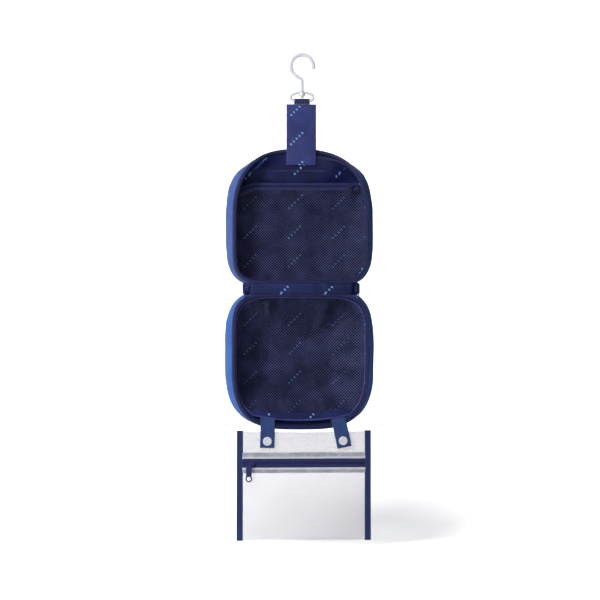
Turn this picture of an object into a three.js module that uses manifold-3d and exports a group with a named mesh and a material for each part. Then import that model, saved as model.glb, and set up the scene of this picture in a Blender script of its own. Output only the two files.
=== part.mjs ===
// A hanging toiletry bag: a hook and strap, two clamshell pods joined by a soft hinge, and a clear snap-on pouch.
// Millimetres, +Z up, +X to the right, the open side faces -Y. The part's origin is the small flat seat inside the
// hook's crown, where the bag hangs. The pieces are drawn in the bag's own frame, with X = 0 on the pods' middle
// plane, Y = 0 where the two rims meet when the bag is zipped shut and Z = 0 at the seat; the group is then moved.
import * as THREE from "three";
import { mergeVertices } from "three/addons/utils/BufferGeometryUtils.js";
import Module from "manifold-3d";

const wasm = await Module();
wasm.setup();

// Driving dimensions
const HINGE_Z = -350; // the fold line between the pods
const POD_DEPTH = 48; // rim plane to back panel
const RIM_GAP = 0.8; // each rim stays this far behind the closing plane
const BACK_RADIUS = 15; // rounding from side wall to back panel
const PERIMETER_STEPS = 36;

// A pod's outline: halfWidth and the Z of its top and bottom, and the squareness of its upper and lower corners
const UPPER_POD = {
  middle: -250, rimTop: -140, rimBottom: -341, bellyTop: -141, bellyBottom: -349,
  rimHalfWidth: 100, bellyHalfWidth: 111, topSquareness: 2.5, bottomSquareness: 4.6, pulledBack: 38,
};
const LOWER_POD = {
  middle: -452, rimTop: -359, rimBottom: -561, bellyTop: -351, bellyBottom: -560,
  rimHalfWidth: 101, bellyHalfWidth: 112, topSquareness: 4.2, bottomSquareness: 3.2, pulledBack: 0,
};
const SEAM_DROP = 24; // how far the upper pod's back seam lies below its pulled-up rim
const SEAM_FORWARD = 8; // how far the strap draws that seam forward
const PULL_HALF_WIDTH = 106; // how far from the middle the strap's pull reaches
const PULL_FULL_WIDTH = 28; // within which the pull is complete

// Layers of a pod wall, as distances in from the outer face
const SHELL = { outside: 0, inside: 1.2, front: 4 };
const TAPE = { outside: 1.6, inside: 2.3, front: RIM_GAP, back: 9 };
const COIL = { outside: 2.8, inside: 4.8, front: RIM_GAP, back: 3 };
const PADDING = { outside: 3.2, inside: 5, front: 4 };
const LINING = { outside: 6.9, inside: 7.5, front: 4 };

const HOOK = { centreX: 4, centreZ: -15, meanRadius: 17.1, band: 4.6, thickness: 5, shankTop: -33, shankBottom: -51 };
const STRAP = { centreX: 3, halfWidth: 22.6, top: -71, bottom: -163, front: 28.4, thickness: 1.6 };
const HANG_Y = STRAP.front + STRAP.thickness / 2;
const POUCH = { centreX: 4.3, halfWidth: 101, top: -563, bottom: -726, film: 0.4 };
const ZIP_Z = -611; // the pouch zip's centre line
const BINDING_WIDTH = 9.3;
const POUCH_FRONT_Y = -2;
const POUCH_BACK_Y = -0.9;
const STUD_BACK_Y = -0.2;
const POUCH_SLIDER_X = -77;
const RING = { centreZ: -61.1, halfWidth: 17.6, halfHeight: 5.1, wire: 1.6, roundness: 0.57 };
const TAB = { halfWidth: 10.9, top: -562.5, bottom: -588, front: -6.2, snapZ: -578 };
const HINGE_ROLL = { length: 158, halfHeight: 6, halfDepth: 2.7, y: 3.7 };
const MAIN_SLIDER = { width: 6, height: 8, depth: 5.4 };
const SEAT_HALF_LENGTH = 2; // the flat seat inside the hook's crown
const POCKET = { front: 27, zipTop: -189.5, halfLength: 88, sliderX: 76 };
const COVER = { front: 8, sliderX: -52, sliderZ: -372 };

const bag = new THREE.Group();
bag.position.set(-HOOK.centreX, -HANG_Y, 0);

const MATERIALS = {
  shell: { color: 0x3f63a8, roughness: 0.75 },
  lining: { color: 0x2b3468, roughness: 0.4 },
  padding: { color: 0x30343c, roughness: 0.95 },
  tape: { color: 0x27305f, roughness: 0.7 },
  coil: { color: 0x232a58, roughness: 0.45 },
  mesh: { color: 0x1e2444, roughness: 0.7 },
  slider: { color: 0x283078, roughness: 0.4, metalness: 0.2 },
  webbing: { color: 0x2a4888, roughness: 0.85 },
  film: { color: 0xe6e5ea, roughness: 0.3 },
  band: { color: 0xa8abba, roughness: 0.35 },
  plastic: { color: 0xf2f3f7, roughness: 0.35 },
};

function addPiece(name, geometry, material) {
  const piece = new THREE.Mesh(geometry, new THREE.MeshStandardMaterial(MATERIALS[material]));
  piece.name = name;
  bag.add(piece);
  return piece;
}

// Skins a closed solid over rings of points. The ends are capped, or the last ring joins the first.
function loft(rings, closed = false) {
  const count = rings[0].length;
  const points = rings.flat();
  const triangles = [];
  const spans = closed ? rings.length : rings.length - 1;
  for (let ring = 0; ring < spans; ring += 1) {
    const here = ring * count;
    const there = ((ring + 1) % rings.length) * count;
    for (let step = 0; step < count; step += 1) {
      const next = (step + 1) % count;
      triangles.push([here + step, here + next, there + next], [here + step, there + next, there + step]);
    }
  }
  if (!closed) {
    triangles.push(...cap(points, rings[0], 0, true));
    triangles.push(...cap(points, rings.at(-1), (rings.length - 1) * count, false));
  }
  const geometry = new THREE.BufferGeometry().setFromPoints(points);
  geometry.setIndex(triangles.flat());
  return signedVolume(geometry) < 0 ? turnedInsideOut(geometry) : geometry;
}

// A fan from a ring's middle point
function cap(points, ring, start, reversed) {
  const middle = ring.reduce((sum, point) => sum.add(point), new THREE.Vector3()).divideScalar(ring.length);
  const centre = points.push(middle) - 1;
  return ring.map((_, step) => {
    const next = start + ((step + 1) % ring.length);
    return reversed ? [centre, next, start + step] : [centre, start + step, next];
  });
}

function signedVolume(geometry) {
  const corner = (at) => new THREE.Vector3().fromBufferAttribute(geometry.attributes.position, geometry.index.getX(at));
  let volume = 0;
  for (let at = 0; at < geometry.index.count; at += 3) {
    volume += corner(at).dot(corner(at + 1).cross(corner(at + 2))) / 6;
  }
  return volume;
}

function turnedInsideOut(geometry) {
  const index = geometry.index.array;
  for (let at = 0; at < index.length; at += 3) {
    [index[at + 1], index[at + 2]] = [index[at + 2], index[at + 1]];
  }
  return geometry;
}

// Joins or cuts two geometries in world space
function combine(first, second, operation) {
  const [one, two] = [first, second].map((geometry) => {
    const bare = geometry.clone().deleteAttribute("normal").deleteAttribute("uv");
    const merged = mergeVertices(bare, 1e-4);
    return new wasm.Manifold(new wasm.Mesh({
      numProp: 3,
      vertProperties: new Float32Array(merged.attributes.position.array),
      triVerts: new Uint32Array(merged.index.array),
    }));
  });
  const mesh = one[operation](two).getMesh();
  const result = new THREE.BufferGeometry();
  result.setAttribute("position", new THREE.BufferAttribute(new Float32Array(mesh.vertProperties), 3));
  return result.setIndex([...mesh.triVerts]);
}

function block(x0, x1, y0, y1, z0, z1) {
  const box = new THREE.BoxGeometry(x1 - x0, y1 - y0, z1 - z0);
  return box.translate((x0 + x1) / 2, (y0 + y1) / 2, (z0 + z1) / 2);
}

// A disc or rod whose axis is Y
function rod(x, z, radius, y0, y1, sides = 20) {
  const cylinder = new THREE.CylinderGeometry(radius, radius, y1 - y0, sides);
  return cylinder.translate(x, (y0 + y1) / 2, z);
}

const mix = (from, to, share) => from + (to - from) * share;

// One point of a pod's wall: turn runs round the outline from the right, depth from the rim (0) to the back (1),
// inset is the distance in from the outer face, and y its distance behind the rim plane.
function podPoint(pod, turn, depth, inset, y, tuck = 0) {
  const belly = Math.sin(Math.PI * Math.min(depth / 0.9, 0.5));
  const halfWidth = mix(pod.rimHalfWidth, pod.bellyHalfWidth, belly) - inset - tuck;
  const top = mix(pod.rimTop, pod.bellyTop, belly) - pod.middle - inset - tuck;
  const bottom = pod.middle - mix(pod.rimBottom, pod.bellyBottom, belly) - inset - tuck;
  const cosine = Math.cos(turn);
  const sine = Math.sin(turn);
  const height = sine > 0 ? top : bottom;
  const power = 2 / (sine > 0 ? pod.topSquareness : pod.bottomSquareness);
  const across = Math.sign(cosine) * Math.abs(cosine) ** power;
  const z = height * Math.sign(sine) * Math.abs(sine) ** power;
  const pull = pod.pulledBack ? strapPull(pod.bellyHalfWidth * across, sine) : 0;
  const shift = pull * mix(pod.pulledBack, -SEAM_FORWARD, depth);
  const upright = mix(y, depth * POD_DEPTH - inset, pull); // the pulled wall's thickness runs along Y
  return new THREE.Vector3(halfWidth * across, upright + shift, pod.middle + z - pull * SEAM_DROP * depth);
}

// How much of the hanging strap's pull reaches a point of the top wall
function strapPull(x, sine) {
  const fade = Math.max(0, Math.abs(x) - PULL_FULL_WIDTH) / (PULL_HALF_WIDTH - PULL_FULL_WIDTH);
  return sine > 0 ? Math.max(0, 1 - fade ** 2) ** 2 : 0;
}

function podRing(pod, depth, inset, y, tuck) {
  return Array.from({ length: PERIMETER_STEPS }, (_, step) =>
    podPoint(pod, ((step + 0.5) / PERIMETER_STEPS) * 2 * Math.PI, depth, inset, y, tuck));
}

// The rings of one face of a pod layer, from its front edge to the edge of its back panel
function podFace(pod, inset, front) {
  const corner = POD_DEPTH - BACK_RADIUS;
  const walls = [front, TAPE.back, mix(TAPE.back, corner, 0.45), corner].map((y) =>
    podRing(pod, y / POD_DEPTH, inset, y));
  const radius = BACK_RADIUS - inset;
  const bends = [0.35, 0.7, 1].map((share) => {
    const angle = (share * Math.PI) / 2;
    const tuck = radius * (1 - Math.cos(angle));
    const depth = (corner + BACK_RADIUS * Math.sin(angle)) / POD_DEPTH;
    return podRing(pod, depth, inset, corner + radius * Math.sin(angle), tuck);
  });
  const panel = bends.at(-1).map((point) => new THREE.Vector3(
    point.x * 0.6, POD_DEPTH - inset, mix(pod.middle, point.z, 0.6)));
  return [...walls, ...bends, panel];
}

function podLayer(pod, layer) {
  const outside = podFace(pod, layer.outside, layer.front).reverse();
  return loft([...outside, ...podFace(pod, layer.inside, layer.front)]);
}

// A closed band round the rim
function rimBand(pod, band) {
  const stops = band.back > SHELL.front ? [band.front, SHELL.front, band.back] : [band.front, band.back];
  const face = (inset) => stops.map((y) => podRing(pod, y / POD_DEPTH, inset, y));
  return loft([...face(band.outside), ...face(band.inside).reverse()], true);
}

function addPod(prefix, pod) {
  addPiece(`${prefix}_shell`, podLayer(pod, SHELL), "shell");
  addPiece(`${prefix}_padding`, podLayer(pod, PADDING), "padding");
  addPiece(`${prefix}_lining`, podLayer(pod, LINING), "lining");
  addPiece(`${prefix}_zip_tape`, rimBand(pod, TAPE), "tape");
  addPiece(`${prefix}_zip_coil`, rimBand(pod, COIL), "coil");
}

// The flat panel that fills a pod's outline at one depth, cut off level at the top
function pocketPanel(pod, inset, y0, y1, top = Infinity) {
  const edge = podRing(pod, y0 / POD_DEPTH, inset, y0);
  const flat = (y) => edge.map((point) => new THREE.Vector3(point.x, y, Math.min(point.z, top)));
  return loft([flat(y0), flat(y1)]);
}

// A flat closed band that follows a pod's outline inside the lining
function coverBand(pod, outside, inside, y0, y1) {
  const ring = (inset, y) => podRing(pod, y0 / POD_DEPTH, inset, y);
  return loft([ring(outside, y0), ring(outside, y1), ring(inside, y1), ring(inside, y0)], true);
}

// A zip slider: a body with a bridge over its middle, its front towards -Y
function slider(width, height, depth) {
  const body = new THREE.Shape();
  body.moveTo(-width / 2, -height * 0.3);
  body.lineTo(-width * 0.2, -height / 2);
  body.lineTo(width * 0.2, -height / 2);
  body.lineTo(width / 2, -height * 0.3);
  body.lineTo(width / 2, height * 0.3);
  body.quadraticCurveTo(width / 2, height / 2, width * 0.3, height / 2);
  body.lineTo(-width * 0.3, height / 2);
  body.quadraticCurveTo(-width / 2, height / 2, -width / 2, height * 0.3);
  return upright(new THREE.ExtrudeGeometry(body, { depth, bevelEnabled: false, curveSegments: 3 }), depth);
}

// A zip pull: a flat tag with a round eye at its free end, hanging from the origin
function pull(width, length, thickness) {
  const radius = width / 2;
  const tag = new THREE.Shape();
  tag.moveTo(-radius * 0.7, 0);
  tag.lineTo(-radius * 0.7, radius - length * 0.75);
  tag.absarc(0, radius - length, radius, Math.PI * 0.8, Math.PI * 2.2, false);
  tag.lineTo(radius * 0.7, 0);
  tag.holes.push(new THREE.Path().absarc(0, radius - length, radius * 0.62, 0, 2 * Math.PI, true));
  const plate = new THREE.ExtrudeGeometry(tag, { depth: thickness, bevelEnabled: false, curveSegments: 6 });
  return upright(plate, thickness);
}

// Stands an extrusion drawn in XY up in XZ, with its thickness behind its front face
function upright(geometry, thickness) {
  return geometry.rotateX(Math.PI / 2).translate(0, thickness, 0);
}

function addHinge() {
  const roll = new THREE.CylinderGeometry(1, 1, HINGE_ROLL.length, 20).rotateZ(Math.PI / 2);
  roll.scale(1, HINGE_ROLL.halfDepth, HINGE_ROLL.halfHeight);
  addPiece("hinge_panel", roll, "lining").position.set(1, HINGE_ROLL.y, HINGE_Z);
}

// A main slider rests at its end of the fold line and faces outwards, with its pull hanging outside it
function addMainSlider(side, outward, x) {
  const { width, height, depth } = MAIN_SLIDER;
  const turn = (outward * Math.PI) / 2;
  const body = addPiece(`${side}_slider`, slider(width, height, depth), "slider");
  body.position.set(x + (outward * depth) / 2, 0, HINGE_Z);
  body.rotation.z = turn;
  const tag = addPiece(`${side}_pull`, pull(5, 17, 1.2), "slider");
  tag.position.set(x + outward * (depth / 2 + 1.7), 0, HINGE_Z + 1);
  tag.rotation.z = turn;
}

function addPocket() {
  const { front, zipTop, halfLength } = POCKET;
  const strip = (top, bottom, y0) => block(-halfLength, halfLength, y0, y0 + 0.8, bottom, top);
  addPiece("pocket_mesh", pocketPanel(UPPER_POD, 8.6, front, front + 0.8, zipTop - 11), "mesh");
  addPiece("pocket_tape_upper", strip(zipTop, zipTop - 3.6, front), "tape");
  addPiece("pocket_zip_coil", block(-halfLength, halfLength, front - 0.5, front + 1.3, zipTop - 6.9, zipTop - 4), "coil");
  addPiece("pocket_tape_lower", strip(zipTop - 7.2, zipTop - 10.7, front), "tape");
  addPiece("pocket_slider", slider(10, 7, 3), "slider").position.set(POCKET.sliderX, front - 3.8, zipTop - 5.4);
  addPiece("pocket_pull", pull(5, 17, 1.2), "slider").position.set(POCKET.sliderX, front - 5.3, zipTop - 6);
}

function addCover() {
  const { front, sliderX } = COVER;
  addPiece("cover_mesh", pocketPanel(LOWER_POD, 13.6, front, front + 0.8), "mesh");
  addPiece("cover_binding", coverBand(LOWER_POD, 8, 10.7, front, front + 1), "tape");
  addPiece("cover_zip_coil", coverBand(LOWER_POD, 11, 13.2, front - 0.4, front + 1.4), "coil");
  addPiece("cover_slider", slider(10, 7, 3), "slider").position.set(sliderX, front - 3.7, COVER.sliderZ);
  addPiece("cover_pull", pull(5, 17, 1.2), "slider").position.set(sliderX, front - 5.2, COVER.sliderZ - 0.6);
}

function addHook() {
  const { centreX, centreZ, meanRadius, band, thickness, shankTop, shankBottom } = HOOK;
  const tip = THREE.MathUtils.degToRad(-13);
  const tangent = Math.acos(meanRadius / (centreZ - shankTop));
  const end = 1.5 * Math.PI - tangent;
  const steps = 22;
  const path = Array.from({ length: steps + 1 }, (_, step) => {
    const angle = mix(tip, end, step / steps);
    return new THREE.Vector3(
      centreX + meanRadius * Math.cos(angle), HANG_Y, centreZ + meanRadius * Math.sin(angle));
  });
  path.push(new THREE.Vector3(centreX - 0.6, HANG_Y, shankTop - 0.5));
  path.push(new THREE.Vector3(centreX, HANG_Y, shankTop - 3), new THREE.Vector3(centreX, HANG_Y, shankBottom));
  const section = new THREE.Shape();
  section.absellipse(0, 0, band / 2, thickness / 2, 0, 2 * Math.PI);
  const sweep = new THREE.ExtrudeGeometry(section, {
    steps: 36, curveSegments: 3, bevelEnabled: false, extrudePath: new THREE.CatmullRomCurve3(path),
  });
  const pin = [[0, 0.5], [2.4, 0.5], [2.4, -0.5], [1.5, -0.5], [1.5, -9], [3.2, -9], [3.2, -10.6], [0, -10.6]];
  const profile = pin.map(([radius, height]) => new THREE.Vector2(radius, height)).reverse();
  const turned = new THREE.LatheGeometry(profile, 20).rotateX(Math.PI / 2);
  turned.translate(centreX, HANG_Y, shankBottom);
  const belowSeat = block(
    centreX - SEAT_HALF_LENGTH, centreX + SEAT_HALF_LENGTH, HANG_Y - thickness, HANG_Y + thickness, -2, 0);
  addPiece("hook", combine(combine(sweep, turned, "add"), belowSeat, "subtract"), "plastic");
}

function addSwivelRing() {
  const { centreX, shankBottom } = HOOK;
  const oval = Array.from({ length: 28 }, (_, step) => {
    const turn = (step / 28) * 2 * Math.PI;
    const across = Math.sign(Math.cos(turn)) * Math.abs(Math.cos(turn)) ** RING.roundness;
    const up = Math.sign(Math.sin(turn)) * Math.abs(Math.sin(turn)) ** RING.roundness;
    const outward = new THREE.Vector2(Math.cos(turn) * 0.8, Math.sin(turn)).normalize();
    return Array.from({ length: 8 }, (_, side) => {
      const angle = (side / 8) * 2 * Math.PI;
      const out = RING.wire * Math.cos(angle);
      return new THREE.Vector3(
        centreX + RING.halfWidth * across + out * outward.x,
        HANG_Y + RING.wire * Math.sin(angle),
        RING.centreZ + RING.halfHeight * up + out * outward.y);
    });
  });
  const boss = new THREE.CylinderGeometry(5, 4.2, 7, 24).rotateX(Math.PI / 2);
  boss.translate(centreX, HANG_Y, shankBottom - 4.4);
  const bore = new THREE.CylinderGeometry(1.9, 1.9, 20, 16).rotateX(Math.PI / 2);
  bore.translate(centreX, HANG_Y, shankBottom - 4.4);
  const joined = combine(loft(oval, true), boss, "add");
  addPiece("swivel_ring", combine(joined, bore, "subtract"), "plastic");
}

function addStrap() {
  const { centreX, halfWidth, top, bottom, front, thickness } = STRAP;
  const strap = block(-halfWidth, halfWidth, 0, thickness, bottom, top).translate(centreX, front, 0);
  addPiece("hanger_strap", strap, "lining");
  const barZ = RING.centreZ - RING.halfHeight;
  const loop = new THREE.Shape();
  loop.moveTo(-1.6, top + 0.3 - barZ);
  loop.lineTo(1.6, top + 0.3 - barZ);
  loop.lineTo(3, -1.5);
  loop.absellipse(0, 0, 3, 3.6, 0, Math.PI);
  loop.closePath();
  loop.holes.push(new THREE.Path().absellipse(0, 0, 2.1, 2.7, 0, 2 * Math.PI, true));
  const web = new THREE.ExtrudeGeometry(loop, { depth: 24, bevelEnabled: false, curveSegments: 12 });
  web.rotateX(Math.PI / 2).rotateZ(Math.PI / 2);
  addPiece("webbing_loop", web, "webbing").position.set(centreX - 11, HANG_Y, barZ);
}

function addTab(side, x, lean) {
  const tab = new THREE.Group();
  tab.position.set(x, TAB.front, TAB.top);
  tab.rotation.y = lean;
  bag.add(tab);
  const place = (name, geometry, material) => tab.add(addPiece(`${side}_${name}`, geometry, material));
  const snapZ = TAB.snapZ - TAB.top;
  place("tab", block(-TAB.halfWidth, TAB.halfWidth, 0, 1.2, TAB.bottom - TAB.top, 0), "webbing");
  const cap = new THREE.LatheGeometry(
    [[0, 0], [6.6, 0], [6.8, 0.4], [6, 1.3], [4.6, 1.5], [4.2, 1.1], [0, 1.1]].map(([r, h]) => new THREE.Vector2(r, h)),
    20);
  place("snap_cap", cap.rotateX(Math.PI).translate(0, -0.3, snapZ), "plastic");
  const socket = new THREE.LatheGeometry(
    [[2.6, 0], [5, 0], [5, 1.4], [2.6, 1.4], [2.6, 0]].map(([r, h]) => new THREE.Vector2(r, h)), 20);
  place("snap_socket", socket.translate(0, 1.5, snapZ), "plastic");
  const stud = new THREE.LatheGeometry(
    [[0, -0.9], [4.8, -0.9], [4.8, 0], [2, 0], [2, 1.6], [0, 1.6]].map(([r, h]) => new THREE.Vector2(r, h)), 20);
  place("snap_stud", stud.rotateX(Math.PI).translate(0, 3.3, snapZ), "plastic");
  place("stud_back", rod(0, snapZ, 5, STUD_BACK_Y - TAB.front, STUD_BACK_Y - TAB.front + 1), "plastic");
}

function addPouch() {
  const { centreX, halfWidth, top, bottom, film } = POUCH;
  const inner = halfWidth - BINDING_WIDTH - 0.3;
  const sheet = (y, z0, z1, thickness = film) =>
    block(centreX - inner, centreX + inner, y, y + thickness, z0, z1);
  const front = POUCH_FRONT_Y;
  addPiece("pouch_back_film", sheet(POUCH_BACK_Y, bottom, top), "film");
  addPiece("pouch_upper_film", sheet(front, ZIP_Z + 16.3, top), "film");
  addPiece("pouch_upper_band", sheet(front - 0.3, ZIP_Z + 6.8, ZIP_Z + 16, 0.7), "band");
  addPiece("pouch_tape_upper", sheet(front - 0.3, ZIP_Z + 1.8, ZIP_Z + 6.5, 0.7), "tape");
  addPiece("pouch_zip_coil", sheet(front - 0.8, ZIP_Z - 1.5, ZIP_Z + 1.5, 1.4), "coil");
  addPiece("pouch_tape_lower", sheet(front - 0.3, ZIP_Z - 6.5, ZIP_Z - 1.8, 0.7), "tape");
  addPiece("pouch_lower_band", sheet(front - 0.3, ZIP_Z - 14.4, ZIP_Z - 6.8, 0.7), "band");
  addPiece("pouch_lower_film", sheet(front, bottom, ZIP_Z - 14.7), "film");
  for (const [side, x] of [["left", centreX - halfWidth], ["right", centreX + halfWidth - BINDING_WIDTH]]) {
    const strip = block(x, x + BINDING_WIDTH, front - 0.7, POUCH_BACK_Y + 1.1, bottom - 1, top + 1);
    addPiece(`pouch_${side}_binding`, strip, "webbing");
  }
  addPiece("pouch_slider", slider(14, 9, 3.4), "slider").position.set(POUCH_SLIDER_X, front - 4.6, ZIP_Z);
  addPiece("pouch_pull", pull(10, 28, 1.6), "slider").position.set(POUCH_SLIDER_X - 2, front - 6.6, ZIP_Z);
}

addHook();
addSwivelRing();
addStrap();
addPod("upper", UPPER_POD);
addPod("lower", LOWER_POD);
addHinge();
addMainSlider("left", -1, -81.5);
addMainSlider("right", 1, 83.5);
addPocket();
addCover();
addTab("left", -50.5, 0.03);
addTab("right", 60, -0.2);
addPouch();

export default bag;
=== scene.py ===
"""The visual model of a hanging toiletry bag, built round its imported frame.

Metres, +Z up. The open side faces -Y.
"""

import math

import bmesh
import bpy
from mathutils import Matrix, Vector, noise


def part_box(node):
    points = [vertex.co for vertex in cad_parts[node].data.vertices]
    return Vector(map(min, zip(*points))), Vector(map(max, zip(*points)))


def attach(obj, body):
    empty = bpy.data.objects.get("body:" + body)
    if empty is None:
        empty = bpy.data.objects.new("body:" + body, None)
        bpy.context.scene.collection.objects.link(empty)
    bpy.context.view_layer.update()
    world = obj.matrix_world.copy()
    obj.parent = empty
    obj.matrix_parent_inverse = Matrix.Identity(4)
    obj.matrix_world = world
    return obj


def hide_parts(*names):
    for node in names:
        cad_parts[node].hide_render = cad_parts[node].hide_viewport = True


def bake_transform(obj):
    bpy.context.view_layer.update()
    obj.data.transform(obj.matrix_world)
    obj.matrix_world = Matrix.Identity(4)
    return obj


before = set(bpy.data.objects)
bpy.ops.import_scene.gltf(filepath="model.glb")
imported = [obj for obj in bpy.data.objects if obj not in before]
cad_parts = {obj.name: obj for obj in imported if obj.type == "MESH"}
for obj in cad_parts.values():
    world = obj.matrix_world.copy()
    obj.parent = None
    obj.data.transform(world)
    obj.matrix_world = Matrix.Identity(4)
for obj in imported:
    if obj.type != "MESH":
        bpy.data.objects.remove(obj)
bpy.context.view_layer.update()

MM = 0.001
TAU = 2 * math.pi
RIGHT, BACK, UP = Vector((1, 0, 0)), Vector((0, 1, 0)), Vector((0, 0, 1))
FRONT = -BACK

# The pieces are drawn in the bag's own frame and moved to the part's origin, which is the hook's seat
ORIGIN = Vector((4 * MM, 29.2 * MM, 0))


def cad_box(node):
    """The corners of a CAD node's box in the bag's own frame."""
    low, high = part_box(node)
    return Vector(low) + ORIGIN, Vector(high) + ORIGIN


def span(node):
    """The middle and the half sizes of a CAD node's box."""
    low, high = cad_box(node)
    return (low + high) / 2, (high - low) / 2


def place(piece, body, *nodes, slot=None):
    """Moves a finished piece to the part's origin and puts it on a body, in place of CAD nodes."""
    piece.data.transform(Matrix.Translation(-ORIGIN))
    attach(piece, body)
    if nodes:
        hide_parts(*nodes)


def place_between(piece, first, second, start, end, *nodes):
    """Moves cloth that crosses a joint to the part's origin, in place of CAD nodes, and bakes its place; it
    goes on neither body and doesn't bend.
    """
    piece.data.transform(Matrix.Translation(-ORIGIN))
    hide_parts(*nodes)
    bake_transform(piece)


# ---------------------------------------------------------------- small helpers


def mix(start, end, share):
    return start + (end - start) * share


def smooth(share):
    share = min(max(share, 0.0), 1.0)
    return share * share * (3 - 2 * share)


def circle(centre, one, two, radius, steps):
    """Points round a centre, in the plane of two unit directions."""
    angles = [k / steps * TAU for k in range(steps)]
    return [centre + (one * math.cos(angle) + two * math.sin(angle)) * radius for angle in angles]


def line(start, end, steps=60):
    return [start.lerp(end, k / steps) for k in range(steps + 1)]


def finish_mesh(name, bm, material, soft=True):
    """Turns a bmesh into an object with outward faces and one material."""
    bmesh.ops.remove_doubles(bm, verts=bm.verts, dist=1e-7)
    bmesh.ops.recalc_face_normals(bm, faces=bm.faces)
    mesh = bpy.data.meshes.new(name)
    bm.to_mesh(mesh)
    bm.free()
    mesh.materials.append(material)
    if soft:
        mesh.shade_smooth()
    piece = bpy.data.objects.new(name, mesh)
    bpy.context.scene.collection.objects.link(piece)
    return piece


def join_rows(bm, one, two):
    """A band of quads between two closed rows of vertices."""
    for step in range(len(one)):
        after = (step + 1) % len(one)
        bm.faces.new((one[step], one[after], two[after], two[step]))


def fan(bm, row, middle):
    """Triangles from a closed row of vertices to one in its middle."""
    for step in range(len(row)):
        bm.faces.new((row[step], row[(step + 1) % len(row)], middle))


def loft(bm, rings, closed_loop=False):
    """Skins closed rings of points with quads. The two ends are capped, or join when closed_loop is set."""
    rows = [[bm.verts.new(point) for point in ring] for ring in rings]
    for one, two in zip(rows, rows[1:]):
        join_rows(bm, one, two)
    if closed_loop:
        join_rows(bm, rows[-1], rows[0])
        return
    for row in (rows[0], rows[-1]):
        fan(bm, row, bm.verts.new(sum((vert.co for vert in row), Vector()) / len(row)))


def lofted(name, rings, material, closed_loop=False):
    """A finished piece skinned over rings of points."""
    bm = bmesh.new()
    loft(bm, rings, closed_loop)
    return finish_mesh(name, bm, material)


def sweep(bm, path, section, up, closed=False):
    """Carries a closed section of (out, up) pairs along a path; up is a fixed direction square to it."""
    rings = []
    for index, point in enumerate(path):
        if closed:
            ahead, behind = path[(index + 1) % len(path)], path[index - 1]
        else:
            ahead, behind = path[min(index + 1, len(path) - 1)], path[max(index - 1, 0)]
        along = (ahead - behind).normalized()
        out = along.cross(up).normalized()
        lift = out.cross(along).normalized()
        scale = section(index / (len(path) - 1)) if callable(section) else section
        rings.append([point + out * a + lift * b for a, b in scale])
    loft(bm, rings, closed_loop=closed)


def ellipse(half_width, half_height, steps=16, power=1.0):
    """A closed outline of (x, y) pairs; power below 1 squares its corners."""
    outline = []
    for step in range(steps):
        angle = (step + 0.5) / steps * TAU
        cosine, sine = math.cos(angle), math.sin(angle)
        outline.append((
            math.copysign(abs(cosine) ** power, cosine) * half_width,
            math.copysign(abs(sine) ** power, sine) * half_height,
        ))
    return outline


def lathe(bm, profile, centre, axis, steps, bored=False):
    """Turns a profile of (radius, height) pairs in millimetres round an axis through centre."""
    side = UP if axis == BACK else BACK
    rings = [
        circle(centre + axis * height * MM, RIGHT, side, radius * MM, steps)
        for radius, height in profile
    ]
    loft(bm, rings, closed_loop=bored)


def plate(bm, outline, y_front, y_back, hole=None):
    """A flat plate from an outline of (x, z) pairs, with an optional hole of as many points."""
    rings = [[Vector((x, y, z)) for x, z in outline] for y in (y_front, y_back)]
    if hole:
        rings += [[Vector((x, y, z)) for x, z in hole] for y in (y_back, y_front)]
    loft(bm, rings, closed_loop=bool(hole))


def bevel(piece, width, angle):
    modifier = piece.modifiers.new("bevel", "BEVEL")
    modifier.width = width
    modifier.segments = 2
    modifier.limit_method = "ANGLE"
    modifier.angle_limit = math.radians(angle)
    modifier.harden_normals = False


def stitches(bm, path, length, gap, radius):
    """Short rounded threads laid along a path of points on a front face."""
    travelled, last = 0.0, path[0]
    step = length + gap
    next_start = gap / 2
    for point in path[1:]:
        leg = (point - last).length
        while leg > 0 and travelled + leg >= next_start + length:
            along = (point - last).normalized()
            start = last + along * (next_start - travelled)
            thread(bm, start, start + along * length, radius)
            next_start += step
        travelled += leg
        last = point


# Share of the length, lift off the surface and thickness, both in radii, of a stitch and of a coil's loop
STITCH = ((0, -1.2, 0.4), (0.2, 0.2, 1), (0.5, 0.5, 1.05), (0.8, 0.2, 1), (1, -1.2, 0.4))
COIL_LOOP = ((0, 0.0, 0.5), (0.12, 0.7, 1), (0.5, 1.15, 1.05), (0.85, 0.8, 1.1), (1, 0.1, 0.6))
ROD_SIDES = 6


def rod(bm, start, end, side, radius, profile):
    """A thin rod that bows forward off a surface, thick and thin by its profile."""
    loft(bm, [
        circle(start.lerp(end, share) + FRONT * radius * lift, side, FRONT, radius * size, ROD_SIDES)
        for share, lift, size in profile
    ])


def thread(bm, start, end, radius):
    """One stitch, whose ends dip into the fabric."""
    side = (end - start).cross(FRONT).normalized()
    rod(bm, start, end, side, radius, STITCH)


def seam(name, points, length, gap, radius, material, body, slot):
    """A row of stitches along a line of points, on a body. The sizes are in millimetres."""
    bm = bmesh.new()
    stitches(bm, points, length * MM, gap * MM, radius * MM)
    place(finish_mesh(name, bm, material), body, slot=slot)


# ---------------------------------------------------------------- materials


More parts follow.
